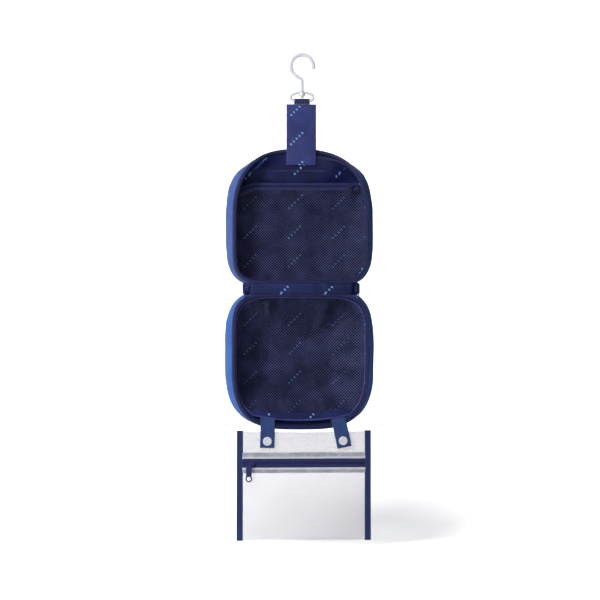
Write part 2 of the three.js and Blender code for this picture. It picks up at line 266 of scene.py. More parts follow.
class Graph:
    """A short way to write the nodes of one material."""

    def __init__(self, name):
        self.material = bpy.data.materials.new(name)
        self.material.use_nodes = True
        self.tree = self.material.node_tree
        self.surface = self.tree.nodes["Principled BSDF"]
        coordinates = self.tree.nodes.new("ShaderNodeTexCoord")
        split = self.tree.nodes.new("ShaderNodeSeparateXYZ")
        self.position = coordinates.outputs["Object"]
        self.tree.links.new(self.position, split.inputs[0])
        self.x, self.y, self.z = split.outputs

    def put(self, socket, value):
        """Links a socket or sets its value; three numbers are a colour where the socket takes four."""
        if isinstance(value, bpy.types.NodeSocket):
            self.tree.links.new(value, socket)
        elif isinstance(value, tuple) and socket.type == "RGBA":
            socket.default_value = (*value, 1)
        else:
            socket.default_value = value

    def fill(self, node, values):
        """Sets a node's inputs by name."""
        for name, value in values.items():
            self.put(node.inputs[name.replace("_", " ").title().replace("Ior", "IOR")], value)

    def node(self, kind, **values):
        node = self.tree.nodes.new(kind)
        self.fill(node, values)
        return node

    def math(self, operation, *values):
        node = self.node("ShaderNodeMath")
        node.operation = operation
        for socket, value in zip(node.inputs, values):
            self.put(socket, value)
        return node.outputs[0]

    def weigh(self, one, share_one, two, share_two):
        """The sum of two values, each times its share."""
        return self.math("MULTIPLY_ADD", one, share_one, self.math("MULTIPLY", two, share_two))

    def noise(self, scale, detail=3.0, roughness=0.5):
        values = {"vector": self.position, "scale": scale, "detail": detail, "roughness": roughness}
        return self.node("ShaderNodeTexNoise", **values).outputs["Fac"]

    def ramp(self, value, low, high):
        """Rises smoothly from 0 at low to 1 at high."""
        node = self.node("ShaderNodeMapRange", value=value, from_min=low, from_max=high)
        node.interpolation_type = "SMOOTHSTEP"
        return node.outputs["Result"]

    def wave(self, coordinate, pitch, phase=0.0):
        """A sine of the coordinate between 0 and 1."""
        turned = self.math("MULTIPLY_ADD", coordinate, TAU / pitch, phase)
        return self.math("MULTIPLY_ADD", self.math("SINE", turned), 0.5, 0.5)

    def blend(self, share, one, two):
        """A colour between two colours. A Mix node's sockets 6 and 7 are its colours A and B."""
        node = self.node("ShaderNodeMix")
        node.data_type = "RGBA"
        for socket, value in ((0, share), (6, one), (7, two)):
            self.put(node.inputs[socket], value)
        return node.outputs[2]

    def shade(self, tone, low, high, base, light):
        """The base colour below a low tone, rising to the light one at a high tone."""
        return self.blend(self.ramp(tone, low, high), colour(*base), colour(*light))

    def bump(self, height, distance, strength):
        node = self.node("ShaderNodeBump", height=height, distance=distance, strength=strength)
        self.put(self.surface.inputs["Normal"], node.outputs["Normal"])

    def set(self, **values):
        self.fill(self.surface, values)
        return self.material


def colour(*values):
    """sRGB from 0 to 255 to linear."""
    return tuple(((v / 255 + 0.055) / 1.055) ** 2.4 if v > 10 else v / 255 / 12.92 for v in values)


def twill(name, base, light):
    """A coated twill: fine diagonal ribs, slow colour variation and a lighter rim of sheen."""
    g = Graph(name)
    slant = g.math("ADD", g.math("ADD", g.x, g.z), g.y)
    across = g.math("SUBTRACT", g.math("SUBTRACT", g.x, g.z), g.y)
    weave = g.weigh(g.wave(across, 0.00088), 0.35, g.wave(slant, 0.0011), 0.65)
    tone = g.weigh(g.noise(28.0, 4.0, 0.6), 0.55, weave, 0.45)
    g.bump(g.math("MULTIPLY_ADD", g.noise(60.0, 2.0), 2.5, weave), 0.00016, 0.6)
    return g.set(base_color=g.shade(tone, 0.25, 0.8, base, light),
                 roughness=g.math("MULTIPLY_ADD", weave, 0.12, 0.62),
                 sheen_weight=0.35, sheen_roughness=0.45, sheen_tint=colour(130, 160, 220))


def print_marks(g, shift_x, shift_z):
    """Groups of five small lozenges in slanting rows on a level grid, as a mask from 0 to 1."""
    wide, high, pitch, reach = 0.067, 0.044, 0.006, 0.0023

    def from_middle(coordinate, shift, repeat):
        moved = g.math("ADD", g.math("ADD", coordinate, g.y), shift)
        return g.math("SUBTRACT", g.math("FLOORED_MODULO", moved, repeat), repeat / 2)

    u, v = from_middle(g.x, shift_x, wide), from_middle(g.z, shift_z, high)
    along = g.math("MULTIPLY", g.math("ADD", u, v), math.sqrt(0.5))
    across = g.math("MULTIPLY", g.math("SUBTRACT", u, v), math.sqrt(0.5))
    within = g.math("LESS_THAN", g.math("ABSOLUTE", along), pitch * 2.5)
    from_dot = g.math("FLOORED_MODULO", g.math("ADD", along, pitch / 2), pitch)
    in_dot = g.math("ABSOLUTE", g.math("SUBTRACT", from_dot, pitch / 2))
    lozenge = g.math("ADD", g.math("MULTIPLY", in_dot, 1.3), g.math("ABSOLUTE", across))
    shape = g.math("SUBTRACT", 1.0, g.ramp(lozenge, reach * 0.85, reach * 1.1))
    return g.math("MULTIPLY", shape, within)


def satin(name, base, light, roughness, shift_x, shift_z, ink=(130, 175, 235)):
    """Printed satin: a fine smooth weave that catches the light along its folds."""
    g = Graph(name)
    weave = g.weigh(g.wave(g.math("ADD", g.x, g.y), 0.0009), 0.3, g.wave(g.z, 0.00045), 0.7)
    tone = g.weigh(g.noise(22.0, 3.0), 0.8, weave, 0.2)
    printed = g.math("MULTIPLY", print_marks(g, shift_x, shift_z), 0.9)
    shaded = g.blend(printed, g.shade(tone, 0.3, 0.75, base, light), colour(*ink))
    g.bump(g.math("MULTIPLY_ADD", g.noise(75.0, 3.0, 0.6), 3.0, weave), 0.00018, 0.55)
    rough = g.math("MULTIPLY_ADD", weave, 0.1, roughness)
    return g.set(base_color=shaded, roughness=rough, sheen_weight=0.04, specular_ior_level=0.25)


def knit(name, base, light):
    """Open net: diamond holes between slanting threads. The holes are partly filled with near-black: painted
    shade of the recess behind the net.
    """
    g = Graph(name)
    pitch, wire, edge = 0.0042, 0.34, 0.12
    one, two = [
        g.math("ABSOLUTE", g.math("SINE", g.math("MULTIPLY", g.math(way, g.x, g.z), math.pi / pitch)))
        for way in ("ADD", "SUBTRACT")
    ]
    nearest = g.math("MINIMUM", one, two)
    solid = g.math("SUBTRACT", 1.0, g.ramp(nearest, wire, wire + edge))
    crossing = g.math("SUBTRACT", 1.0, g.math("MULTIPLY", g.math("ADD", one, two), 0.5))
    tone = g.weigh(crossing, 0.6, g.noise(35.0, 2.0), 0.5)
    # The holes' near-black (4, 5, 14) is painted shade, darkening the recess seen through the net.
    shaded = g.blend(solid, colour(4, 5, 14), g.shade(tone, 0.3, 0.9, base, light))
    g.bump(g.math("SUBTRACT", 1.0, nearest), 0.0003, 0.8)
    # The threads are opaque; the holes keep 0.38 of the near-black painted shade.
    threads_and_painted_shade = g.math("MULTIPLY_ADD", solid, 0.62, 0.38)
    return g.set(base_color=shaded, roughness=0.6, alpha=threads_and_painted_shade, specular_ior_level=0.2)


def grosgrain(name, base, light, pitch=0.0011):
    """Ribbed ribbon, its ribs running across its width."""
    g = Graph(name)
    weave = g.weigh(g.wave(g.x, 0.0005), 0.3, g.wave(g.z, pitch), 0.7)
    tone = g.weigh(g.noise(45.0, 4.0, 0.65), 0.6, weave, 0.4)
    g.bump(weave, 0.0002, 0.8)
    return g.set(base_color=g.shade(tone, 0.25, 0.8, base, light), roughness=0.8,
                 sheen_weight=0.3, sheen_roughness=0.5)


def tape(name, base, light):
    """Zip tape: a fine herringbone."""
    g = Graph(name)
    fold = g.math("PINGPONG", g.x, 0.0016)
    rib = g.wave(g.math("ADD", g.math("ADD", g.z, g.y), fold), 0.0008)
    tone = g.weigh(g.noise(50.0, 3.0), 0.5, rib, 0.5)
    g.bump(rib, 0.00015, 0.8)
    return g.set(base_color=g.shade(tone, 0.25, 0.8, base, light), roughness=0.75, sheen_weight=0.3)


def moulded(name, base, light, roughness, grain=0.00004):
    """Moulded or painted hard parts: faint orange peel and handling marks."""
    g = Graph(name)
    cloudy = g.noise(120.0, 5.0, 0.6)
    g.bump(g.noise(900.0, 2.0), grain, 0.5)
    rough = g.math("MULTIPLY_ADD", cloudy, 0.2, roughness - 0.1)
    return g.set(base_color=g.shade(cloudy, 0.3, 0.7, base, light), roughness=rough)


def frosted(name, base, light, alpha):
    """Frosted film: cloudy, slightly rippled and see-through."""
    g = Graph(name)
    cloudy = g.noise(18.0, 4.0, 0.55)
    g.bump(cloudy, 0.0012, 0.2)
    rough = g.math("MULTIPLY_ADD", cloudy, 0.2, 0.4)
    shaded = g.shade(cloudy, 0.3, 0.7, base, light)
    return g.set(base_color=shaded, roughness=rough, alpha=alpha, specular_ior_level=0.25)


def foam(name, base, light):
    """Dark closed-cell foam."""
    g = Graph(name)
    cells = g.noise(900.0, 3.0)
    g.bump(cells, 0.0003, 0.8)
    return g.set(base_color=g.blend(cells, colour(*base), colour(*light)), roughness=0.95)


def reflective(name, base, light):
    """A grey reflective strip, slightly rippled and shiny."""
    g = Graph(name)
    ripple = g.noise(60.0, 3.0)
    g.bump(ripple, 0.0003, 0.5)
    return g.set(base_color=g.shade(ripple, 0.35, 0.7, base, light), roughness=0.35, coat_weight=0.3)


# Each material: its name, its base and lighter colour in sRGB, and then its own values
SHELL = twill("shell_twill", (52, 80, 148), (80, 112, 186))
# The lower pod's shell is a lighter, bluer copy of the same twill: painted light.
SHELL_LOW_PAINTED_LIGHT = twill("shell_twill_lower_painted_light", (44, 88, 168), (70, 124, 210))
LINING = satin("lining_satin", (8, 13, 58), (15, 27, 92), 0.32, 0.0328, 0.0107, (120, 175, 240))
STRAP_SATIN = satin("strap_satin", (44, 52, 110), (66, 75, 142), 0.4, 0.0423, 0.0137)
ROLL_SATIN = satin("roll_satin", (18, 26, 72), (34, 46, 108), 0.34, 0.03, 0.012)
KNIT = knit("net", (16, 18, 52), (92, 97, 152))
HEM_SATIN = satin("hem_satin", (18, 26, 78), (32, 44, 108), 0.3, 0.05, 0.02)
PIPING = tape("piping", (20, 25, 74), (34, 42, 104))
COVER_PIPING = tape("cover_piping", (42, 50, 124), (64, 74, 160))
TAPE = tape("zip_tape", (16, 21, 66), (28, 35, 94))
POUCH_TAPE = tape("pouch_zip_tape", (22, 26, 82), (36, 42, 106))
COIL = moulded("nylon_coil", (18, 22, 76), (28, 34, 98), 0.75, grain=0.00001)
METAL = moulded("lacquered_metal", (22, 28, 86), (34, 42, 112), 0.35)
# A darker copy of the lacquered metal, for the sliders and pulls inside the pods: painted shade.
METAL_PAINTED_SHADE = moulded("lacquered_metal_painted_shade", (11, 15, 52), (18, 24, 72), 0.45)
RIBBON = grosgrain("grosgrain", (24, 52, 110), (40, 74, 138))
RIBBON_UPRIGHT = grosgrain("grosgrain_binding", (12, 36, 86), (22, 54, 112))
PLASTIC = moulded("white_plastic", (222, 225, 235), (236, 239, 247), 0.38)
FILM = frosted("frosted_film", (226, 225, 232), (234, 233, 240), 0.23)
# A darker copy of the frosted film, for the pouch's upper strip just under the lower pod: painted shade.
UPPER_FILM_PAINTED_SHADE = frosted("frosted_film_upper_painted_shade", (208, 207, 215), (218, 217, 225), 0.3)
GREY_BAND = reflective("grey_band", (158, 161, 178), (192, 195, 210))
WHITE_BAND = moulded("white_band", (206, 209, 222), (228, 230, 238), 0.4)
FOAM = foam("foam", (24, 26, 44), (44, 47, 68))
THREAD = grosgrain("thread", (60, 70, 140), (96, 106, 176), 0.0003)
WHITE_THREAD = grosgrain("white_thread", (236, 238, 244), (250, 250, 252), 0.0003)


# ---------------------------------------------------------------- the pods' surfaces

HINGE_Z = span("hinge_panel")[0].z
POD_DEPTH = cad_box("upper_shell")[1].y
BACK_RADIUS = 15 * MM
BELLY_DEPTH = 0.45
RIM_FRONT = 0.8 * MM
SHELL_FRONT = 4 * MM
TAPE_BACK = 9 * MM
SEAM_DROP, SEAM_FORWARD = 24 * MM, 8 * MM
PULL_HALF_WIDTH, PULL_FULL_WIDTH = 106 * MM, 28 * MM
LINING_INSET = 7.2 * MM
COIL_BUMPS, COIL_RADIUS = 0.16, 0.42 * MM
NET_RINGS = 46
STEPS, WALL_RINGS, BEND_RINGS, PANEL_RINGS = 144, 16, 8, 10


class Pod:
    """One half of the case. Its outline is squarish, wider at the belly than at the rim.

    rim and belly are the heights of its top and bottom, the widths are half widths, and the powers
    square the outline's upper and lower corners. pulled_back is how far the strap draws the top rim back.
    """

    def __init__(self, middle, rim, belly, rim_width, belly_width, rim_powers, belly_powers,
                 pulled_back, seed):
        self.middle, self.rim, self.belly = middle, rim, belly
        self.rim_width, self.belly_width = rim_width, belly_width
        self.rim_powers, self.belly_powers = rim_powers, belly_powers
        self.pulled_back, self.seed = pulled_back, seed

    def pull(self, x):
        """How much of the strap's pull reaches the top rim at a place across it, from 0 to 1."""
        if not self.pulled_back:
            return 0.0
        fade = max(0.0, abs(x) - PULL_FULL_WIDTH) / (PULL_HALF_WIDTH - PULL_FULL_WIDTH)
        return max(0.0, 1 - fade * fade) ** 2

    def point(self, turn, depth, inset, y, tuck=0.0):
        """A point of the wall, at a turn round the outline.

        depth runs from 0 at the rim to 1 at the back, inset is the distance inside the outer skin,
        y the place in front of or behind the rim, and tuck a further step in, for the back's bend.
        """
        belly = math.sin(math.pi / 2 * min(depth / BELLY_DEPTH, 1.0))
        width = mix(self.rim_width, self.belly_width, belly) - inset - tuck
        top = mix(self.rim[0], self.belly[0], belly) - self.middle - inset - tuck
        bottom = self.middle - mix(self.rim[1], self.belly[1], belly) - inset - tuck
        cosine, sine = math.cos(turn), math.sin(turn)
        half = 0 if sine > 0 else 1
        power = 2 / mix(self.rim_powers[half], self.belly_powers[half], belly)
        across = math.copysign(abs(cosine) ** power, cosine)
        rise = math.copysign(abs(sine) ** power, sine) * (top if sine > 0 else bottom)
        pull = self.pull(self.belly_width * across) if sine > 0 else 0.0
        shift = pull * mix(self.pulled_back, -SEAM_FORWARD, depth)
        upright = mix(y, depth * POD_DEPTH - inset, pull)
        return Vector((width * across, upright + shift, self.middle + rise - pull * SEAM_DROP * depth))

    def ring(self, depth, inset, y, tuck=0.0, steps=STEPS):
        return [self.point((step + 0.5) / steps * TAU, depth, inset, y, tuck) for step in range(steps)]

    def wall(self, y, inset, steps=STEPS):
        return self.ring(y / POD_DEPTH, inset, y, steps=steps)

    def face(self, inset, front):
        """Rings from the front edge over the side wall and round the bend to the middle of the back panel."""
        corner = POD_DEPTH - BACK_RADIUS
        rings = [self.wall(mix(front, corner, k / WALL_RINGS), inset) for k in range(WALL_RINGS + 1)]
        radius = BACK_RADIUS - inset
        for k in range(1, BEND_RINGS + 1):
            angle = k / BEND_RINGS * math.pi / 2
            depth = (corner + BACK_RADIUS * math.sin(angle)) / POD_DEPTH
            rings.append(self.ring(
                depth, inset, corner + radius * math.sin(angle), radius * (1 - math.cos(angle))))
        edge = rings[-1]
        for k in range(1, PANEL_RINGS):
            share = 1 - k / PANEL_RINGS
            eased = smooth(min(1.0, k / PANEL_RINGS * 1.8))
            back = POD_DEPTH - inset
            rings.append([
                Vector((point.x * share, mix(point.y, back, eased), mix(self.middle, point.z, share)))
                for point in edge
            ])
        return rings


UPPER = Pod(middle=-250 * MM, rim=(-135.5 * MM, -341 * MM), belly=(-145 * MM, -349 * MM),
            rim_width=100 * MM, belly_width=111.4 * MM, rim_powers=(2.5, 7.0), belly_powers=(3.0, 4.6),
            pulled_back=38 * MM, seed=3.0)
LOWER = Pod(middle=-452 * MM, rim=(-358 * MM, -561 * MM), belly=(-348.6 * MM, -560 * MM),
            rim_width=101 * MM, belly_width=112.6 * MM, rim_powers=(6.0, 3.4), belly_powers=(4.1, 3.2),
            pulled_back=0.0, seed=11.0)


def crumple(point, seed, size, height):
    """A smooth wrinkle field: the offset at a point, up to about +-height."""
    shifted = Vector((point.x + seed, point.y, point.z)) / size
    return noise.noise(shifted) * height + noise.noise(shifted * 2.3) * height * 0.4


def dent(bm, centre, fade, seed, size, height):
    """Presses soft dents into a pod's skin towards a centre, none near its rim."""
    for vert in bm.verts:
        depth = smooth((vert.co.y - 6 * MM) / fade)
        away = (vert.co - centre).normalized()
        vert.co -= away * abs(crumple(vert.co, seed, size, height)) * depth


def fabric_shell(name, pod, outside, inside, front, material, wrinkle):
    """A thin closed fabric skin over the whole pod, with soft dents in its panels."""
    bm = bmesh.new()
    loft(bm, pod.face(outside, front)[::-1] + pod.face(inside, front))
    dent(bm, Vector((0, POD_DEPTH / 2, pod.middle)), 10 * MM, pod.seed, 0.05, wrinkle)
    return finish_mesh(name, bm, material)


def rim_band(name, pod, outside, inside, material):
    """The zip tape round the rim, between two insets."""
    stops = [mix(RIM_FRONT, TAPE_BACK, k / 4) for k in range(5)]
    rings = [pod.wall(y, outside) for y in stops] + [pod.wall(y, inside) for y in reversed(stops)]
    return lofted(name, rings, material, closed_loop=True)


def cord(name, path, radius, material, bumps=0.0):
    """A closed cord along a path of points; bumps swells every second ring, as in a row of coil loops."""
    sections = []
    for index, point in enumerate(path):
        along = (path[(index + 1) % len(path)] - path[index - 1]).normalized()
        out = along.cross(BACK).normalized()
        lift = out.cross(along).normalized()
        sections.append(circle(point, out, lift, radius * (1 + bumps * math.cos(math.pi * index)), 10))
    return lofted(name, sections, material, closed_loop=True)


def lining(name, pod, material, wrinkle):
    """The satin skin inside, turned over the front edge of the foam to meet the zip tape."""
    bm = bmesh.new()
    lip = ((0.4 * MM, 5.4 * MM), (0.3 * MM, 3.0 * MM), (-0.2 * MM, 3.0 * MM), (-0.2 * MM, 5.6 * MM),
           (0.2 * MM, LINING_INSET - 0.4 * MM))
    turned_over = [pod.wall(SHELL_FRONT + y, inset) for y, inset in lip]
    outer = pod.face(LINING_INSET - 0.2 * MM, SHELL_FRONT + 1.4 * MM)
    inner = pod.face(LINING_INSET + 0.3 * MM, SHELL_FRONT + 1.2 * MM)
    loft(bm, outer[::-1] + turned_over + inner)
    dent(bm, Vector((0, 0, pod.middle)), 12 * MM, pod.seed + 5, 0.032, wrinkle)
    return finish_mesh(name, bm, material)


def make_pod(prefix, pod, shell_material):
    body = f"{prefix}_pod"
    skin = fabric_shell(f"{prefix}_outer", pod, 0.0, 1.2 * MM, SHELL_FRONT, shell_material, 1.6 * MM)
    place(skin, body, f"{prefix}_shell")
    core = fabric_shell(f"{prefix}_foam", pod, 3.4 * MM, 4.9 * MM, SHELL_FRONT + 1 * MM, FOAM, 0.9 * MM)
    place(core, body, f"{prefix}_padding")
    place(lining(f"{prefix}_satin", pod, LINING, 2.2 * MM), body, f"{prefix}_lining")
    place(rim_band(f"{prefix}_rim_tape", pod, 1.5 * MM, 2.3 * MM, TAPE), body, f"{prefix}_zip_tape")
    coil = cord(f"{prefix}_rim_coil", pod.wall(2.1 * MM, 3.8 * MM, 420), 1.15 * MM, COIL, COIL_BUMPS)
    place(coil, body, f"{prefix}_zip_coil")
    piping = cord(f"{prefix}_rim_piping", pod.wall(2.2 * MM, 0.9 * MM, 220), 1.1 * MM, PIPING)
    place(piping, body, slot="tape")
    sewn = pod.wall(7.5 * MM, -0.05 * MM, 300)
    seam(f"{prefix}_rim_stitching", sewn + sewn[:1], 2.4, 1.2, 0.22, THREAD, body, "tape")


make_pod("upper", UPPER, SHELL)
make_pod("lower", LOWER, SHELL_LOW_PAINTED_LIGHT)
seam_cord = cord("upper_inner_seam", UPPER.ring(0.78, 7.4 * MM, 38 * MM, steps=200), 1 * MM, PIPING)
place(seam_cord, "upper_pod", slot="lining")


# ---------------------------------------------------------------- hinge roll, pockets and zips


def soft_roll(name, material):
    """The padded satin roll over the fold line: crowned, puckered and drawn in at its ends."""
    low, high = cad_box("hinge_panel")
    start, end = low.x - 9.5 * MM, high.x + 9.2 * MM
    rings = []
    for index in range(91):
        share = index / 90
        x = mix(start, end, share)
        body = smooth((min(x - start, end - x) - 8 * MM) / (5 * MM))
        taper = mix(1.02, 1.0, body) * mix(0.75, 1.0, smooth(min(share, 1 - share) / 0.02))
        ring = []
        for across, lift in ellipse(9.3 * MM * taper, mix(1.6, 3.9, body) * MM, 28, 0.85):
            point = Vector((x, mix(6.2, 2.6, body) * MM - lift, HINGE_Z + 0.6 * MM + across))
            point.y += crumple(Vector((point.x * 1.2, lift * 2, point.z * 0.6)), 2.0, 0.018, 0.9 * MM)
            point.z += crumple(point, 9.0, 0.03, 0.7 * MM)
            ring.append(point)
        rings.append(ring)
    return lofted(name, rings, material)


def to_micron(point):
    return tuple(round(value, 6) for value in point)


def net_sheet(name, outline, middle, sag):
    """An open net filling an outline, hollowed towards the back by sag(x, z) and pinned along its edge."""
    bm = bmesh.new()
    rows = [[bm.verts.new(point) for point in outline]]
    for k in range(1, NET_RINGS):
        share = 1 - (k / NET_RINGS) ** 1.15
        rows.append([
            bm.verts.new(Vector((p.x * share, p.y, middle.z + (p.z - middle.z) * share)))
            for p in outline
        ])
    for one, two in zip(rows, rows[1:]):
        join_rows(bm, one, two)
    centre = bm.verts.new(Vector((0, outline[0].y, middle.z)))
    fan(bm, rows[-1], centre)
    for k, row in enumerate(rows):
        for vert in row:
            vert.co.y += smooth(k / 9) * sag(vert.co.x, vert.co.z)
    centre.co.y += sag(centre.co.x, centre.co.z)
    piece = finish_mesh(name, bm, KNIT)
    edge = {to_micron(point) for point in outline}
    held = [vert.index for vert in piece.data.vertices if to_micron(vert.co) in edge]
    piece.vertex_groups.new(name="pinned").add(held, 1.0, "REPLACE")
    return piece


def drape(piece, slack, gravity, frames, y_low, y_high):
    """Lets a net hang slack between its sewn edges, then keeps it between two depths."""
    scene = bpy.context.scene
    scene.gravity = gravity
    cloth = piece.modifiers.new("cloth", "CLOTH")
    settings = cloth.settings
    settings.quality = 6
    settings.mass = 0.08
    settings.tension_stiffness = settings.compression_stiffness = 12
    settings.shear_stiffness = 4
    settings.bending_stiffness = 0.02
    settings.air_damping = 3
    settings.vertex_group_mass = "pinned"
    settings.shrink_min = -slack
    cloth.collision_settings.use_collision = False
    cloth.point_cache.frame_start, cloth.point_cache.frame_end = 1, frames
    for step in range(1, frames + 1):
        scene.frame_set(step)
    graph = bpy.context.evaluated_depsgraph_get()
    draped = [vert.co.copy() for vert in piece.evaluated_get(graph).data.vertices]
    piece.modifiers.remove(cloth)
    for vert, point in zip(piece.data.vertices, draped):
        vert.co = point
        vert.co.y = min(max(point.y, y_low), y_high)
    scene.frame_set(1)


def ribbon_strip(name, path, width, thickness, material):
    """A flat ribbon along a level path, its width upright."""
    bm = bmesh.new()
    section = [(out, rise) for rise, out in ellipse(width / 2, thickness / 2, 20, 0.45)]
    sweep(bm, path, section, UP)
    return finish_mesh(name, bm, material)


def coil_chain(name, path, width, pitch):
    """A closed coil zip: loops from each side that meet in the middle of the path."""
    bm = bmesh.new()
    travelled, turn = 0.0, 0
    for one, two in zip(path, path[1:]):
        leg = (two - one).length
        along = (two - one).normalized()
        while travelled < leg:
            middle = one + along * travelled
            reach = UP * (-width if turn % 2 else width)
            rod(bm, middle + reach * 0.5, middle - reach * 0.12, along, COIL_RADIUS, COIL_LOOP)
            travelled += pitch / 2
            turn += 1
        travelled -= leg
    return finish_mesh(name, bm, COIL)


def slider_piece(name, low, high, material=METAL):
    """A zip slider filling a box: two plates, a neck between them and a bridge for the pull."""
    middle, half = (low + high) / 2, (high - low) / 2
    bm = bmesh.new()
    outline = []
    for across, rise in ellipse(half.x, half.z, 40, 0.7):
        pinch = 1 - 0.22 * smooth(-rise / half.z)
        outline.append((middle.x + across * pinch, middle.z + rise))
    plate(bm, outline, low.y + half.y * 0.55, low.y + half.y * 1.2)
    under = [(mix(middle.x, x, 0.97), mix(middle.z, z, 0.97)) for x, z in outline]
    plate(bm, under, high.y - half.y * 0.6, high.y)
    neck_z = middle.z + half.z * 0.35
    neck = [(middle.x + a, neck_z + b) for a, b in ellipse(half.x * 0.32, half.z * 0.4, 16, 0.8)]
    plate(bm, neck, low.y + half.y, high.y - half.y * 0.2)
    bridge = []
    for k in range(13):
        angle = math.pi * k / 12
        out = low.y + half.y * (0.85 - math.sin(angle) * 0.75)
        bridge.append(Vector((middle.x, out, middle.z + math.cos(angle) * half.z * 0.72)))
    sweep(bm, bridge, ellipse(0.45 * MM, 0.9 * MM, 12, 0.7), RIGHT)
    piece = finish_mesh(name, bm, material, soft=False)
    bevel(piece, 0.25 * MM, 50)
    return piece


def pull_piece(name, low, high, material=METAL):
    """A zip pull filling a box: a tapered tag with a rounded end and an eye."""
    middle, radius = (low + high) / 2, (high.x - low.x) / 2
    eye = low.z + radius
    hole, outline = [], []
    for k in range(56):
        angle = (k + 0.5) / 56 * TAU
        cosine, sine = math.cos(angle), math.sin(angle)
        hole.append((middle.x + cosine * radius * 0.64, eye + sine * radius * 0.64))
        if sine < 0:
            outline.append((middle.x + cosine * radius, eye + sine * radius))
            continue
        share = min(1.0, sine / 0.86)
        neck = mix(1.0, 0.82, smooth(share * 2.2))
        flat = min(1.0, abs(cosine) / 0.51) if sine > 0.86 else 1.0
        side = math.copysign(neck * flat, cosine) * radius
        outline.append((middle.x + side, mix(eye, high.z, share ** 1.6)))
    bm = bmesh.new()
    plate(bm, outline, low.y, high.y, hole)
    piece = finish_mesh(name, bm, material, soft=False)
    bevel(piece, 0.22 * MM, 50)
    return piece


def sideways(make, name, node, body, outward):
    """A zip piece made to face forward, in a box with its width and depth exchanged, and turned sideways."""
    middle, half = span(node)
    reach = Vector((half.y, half.x, half.z))
    piece = make(name, middle - reach, middle + reach)
    turn = Matrix.Rotation(outward * math.pi / 2, 4, "Z")
    piece.data.transform(Matrix.Translation(middle) @ turn @ Matrix.Translation(-middle))
    place(piece, body, node)


roll = soft_roll("hinge_roll", ROLL_SATIN)
above, below = UP * (HINGE_Z + 5 * MM), UP * (HINGE_Z - 5 * MM)
place_between(roll, "upper_pod", "lower_pod", above, below, "hinge_panel")

for side, outward in (("left", -1), ("right", 1)):
    sideways(slider_piece, f"{side}_zip_slider", f"{side}_slider", f"{side}_main_slider", outward)
    sideways(pull_piece, f"{side}_zip_tag", f"{side}_pull", f"{side}_main_pull", outward)


def folds(x, z, seed, depth, slant):
    """Soft diagonal folds of slack net, deepest away from the edges."""
    along = x * math.cos(slant) + z * math.sin(slant)
    drift = noise.noise(Vector((x * 9, seed, z * 9))) * 0.6
    ridge = 1 - abs(math.sin(along / 0.085 * math.pi + drift * 2 + seed))
    cross = 1 - abs(math.sin((x * 0.8 - z * 0.7) / 0.12 * math.pi + drift + seed * 2))
    return depth * (0.6 + 0.25 * ridge ** 1.6 + 0.15 * cross)


pocket_low, pocket_high = cad_box("pocket_mesh")
pocket_top = pocket_high.z + 0.6 * MM
pocket_y = pocket_low.y - 0.4 * MM
pocket_outline = [Vector((p.x, pocket_y, min(p.z, pocket_top))) for p in UPPER.wall(pocket_low.y, 7.6 * MM)]
pocket = net_sheet("pocket_net", pocket_outline, Vector((0, 0, -272 * MM)),
                   lambda x, z: folds(x, z, 0.4, 5 * MM, 0.9))
drape(pocket, 0.03, (0, 5, -6), 22, 22 * MM, 39 * MM)
place(pocket, "upper_pod", "pocket_mesh")


def cover_edge(x):
    """The height of the cover's lower edge, which rises from the middle to its ends."""
    return -547 * MM + 10 * MM * (x / (80 * MM)) ** 2


def cover_outline(inset, y, raised=0.0, steps=STEPS):
    """The lower pod's outline at a depth, cut off along the lower edge of its net cover."""
    return [Vector((p.x, y, max(p.z, cover_edge(p.x) + raised))) for p in LOWER.wall(y, inset, steps)]


COVER_Y = cad_box("cover_mesh")[0].y
cover = net_sheet("cover_net", cover_outline(8.6 * MM, COVER_Y, 4 * MM), Vector((0, 0, -452 * MM)),
                  lambda x, z: folds(x, z, 1.3, 14 * MM, 0.75))
drape(cover, 0.06, (0, 9, -5), 26, 6 * MM, 38 * MM)
place(cover, "lower_pod", "cover_mesh")


def zip_path(node, drop):
    """The line of the pocket's zip: level, a little slack in its middle and dipping at its left end."""
    middle, half = span(node)
    path = []
    for k in range(81):
        x = mix(-half.x - 3 * MM, half.x + 3 * MM, k / 80)
        dip = drop * smooth((-x - 60 * MM) / (32 * MM)) ** 1.5
        slack = 0.5 * MM * math.sin(k / 80 * math.pi)
        path.append(Vector((x, middle.y - 0.4 * MM, middle.z - dip - slack)))
    return path


for name, node, width, thick, drop in (
    ("pocket_upper_tape", "pocket_tape_upper", 3.6, 0.6, 7),
    ("pocket_lower_tape", "pocket_tape_lower", 4.4, 1.3, 9),
):
    strip = ribbon_strip(name, zip_path(node, drop * MM), width * MM, thick * MM, PIPING)
    place(strip, "upper_pod", node)
chain = coil_chain("pocket_chain", zip_path("pocket_zip_coil", 8 * MM), 3.4 * MM, 1.3 * MM)
place(chain, "upper_pod", "pocket_zip_coil")
# The sliders and pulls inside the pods take the lacquered metal darkened with painted shade.
for prefix in ("pocket", "cover"):
    body = slider_piece(f"{prefix}_zip_slider", *cad_box(f"{prefix}_slider"), METAL_PAINTED_SHADE)
    place(body, f"{prefix}_slider", f"{prefix}_slider")
    tag = pull_piece(f"{prefix}_zip_tag", *cad_box(f"{prefix}_pull"), METAL_PAINTED_SHADE)
    place(tag, f"{prefix}_pull", f"{prefix}_pull")

piping_line = cover_outline(8.4 * MM, COVER_Y - 0.8 * MM, steps=260)
place(cord("cover_piping", piping_line, 1.6 * MM, COVER_PIPING), "lower_pod", "cover_binding")
coil_line = cover_outline(9.4 * MM, COVER_Y, 2 * MM, steps=420)
place(cord("cover_coil", coil_line, 0.8 * MM, COIL, COIL_BUMPS), "lower_pod", "cover_zip_coil")


